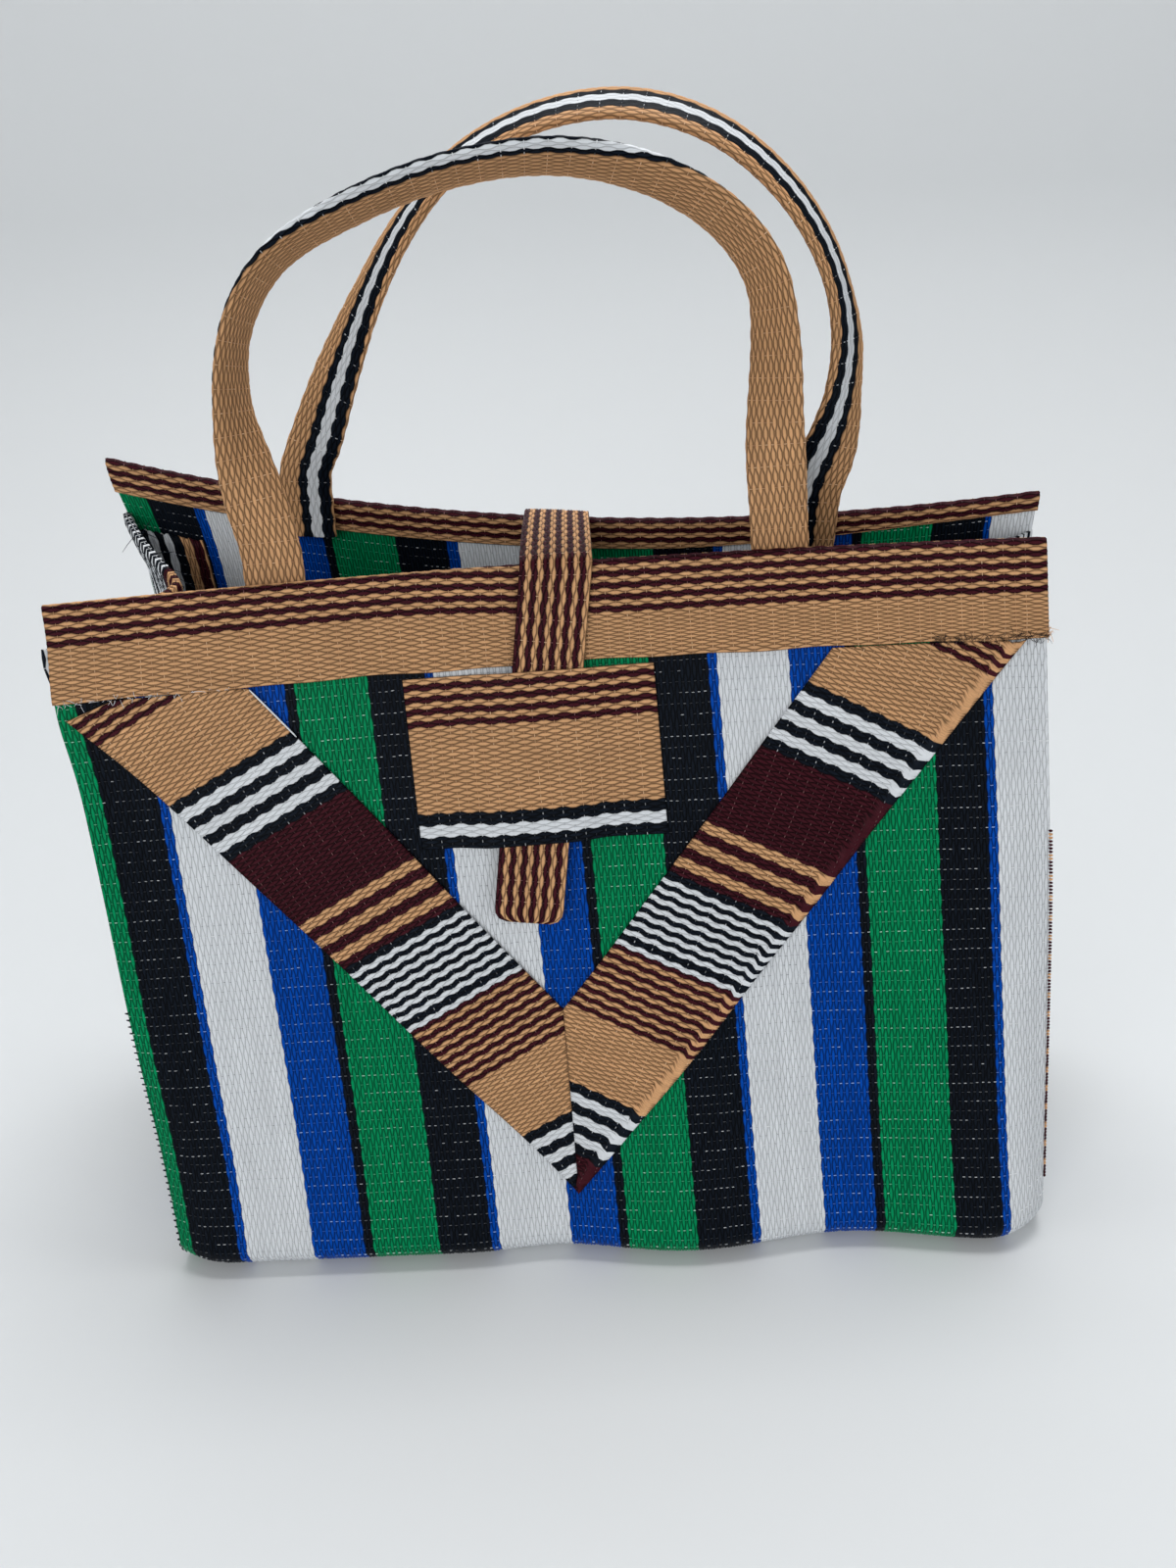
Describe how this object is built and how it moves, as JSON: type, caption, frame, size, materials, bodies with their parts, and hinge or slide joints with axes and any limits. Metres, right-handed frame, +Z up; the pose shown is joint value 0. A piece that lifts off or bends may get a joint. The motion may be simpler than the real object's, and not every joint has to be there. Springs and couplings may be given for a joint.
{
  "type": "woven tote bag",
  "caption": "Striped woven straw tote with folded sides, bound rims, a sewn-on V, a pull-through closing strap and folded band handles.",
  "frame": {"origin": "middle of the whole bag's plan, on the floor it stands on", "axes": "+Z up to the handles, +X to the right seen from the front, -Y out of the front wall"},
  "size_m": [0.3726, 0.1664, 0.4128],
  "materials": {
    "striped_straw": "green, black, blue and white woven plastic straw",
    "gusset_straw": "black, white and tan woven plastic straw",
    "trim_straw": "tan, maroon, black and white woven plastic straw",
    "tan_straw": "tan woven plastic straw with maroon lines"
  },
  "bodies": {
    "bag": {"front_panel": "striped_straw", "back_panel": "striped_straw", "left_gusset": "gusset_straw", "right_gusset": "gusset_straw", "base_panel": "striped_straw", "front_rim_binding": "tan_straw", "back_rim_binding": "tan_straw", "left_gusset_hem": "tan_straw", "right_gusset_hem": "tan_straw", "v_strip_left": "trim_straw", "v_strip_right": "trim_straw", "closure_patch": "tan_straw", "closure_strap_sewn_end": "tan_straw", "front_handle_left_end": "tan_straw", "front_handle_right_end": "tan_straw", "back_handle_left_end": "tan_straw", "back_handle_right_end": "tan_straw"},
    "front_handle_loop": {"front_handle": "tan_straw"},
    "back_handle_loop": {"back_handle": "tan_straw"},
    "strap": {"closure_strap": "tan_straw"}
  },
  "joints": [
    {"name": "front_handle_swing", "type": "hinge", "parent": "bag", "child": "front_handle_loop", "pos_m": [-0.01492, 0.00552, 0.27445], "axis": [0.9976, 0.0695, 0.0073], "range_deg": [-4.5, 112]},
    {"name": "back_handle_swing", "type": "hinge", "parent": "bag", "child": "back_handle_loop", "pos_m": [-0.00525, 0.0537, 0.27994], "axis": [-0.9921, 0.1188, 0.0399], "range_deg": [-4.5, 112]},
    {"name": "closure_strap_slide", "type": "slide", "parent": "bag", "child": "strap", "axis": [0.1208, 0.3363, 0.934], "range_m": [0, 0.097]}
  ]
}
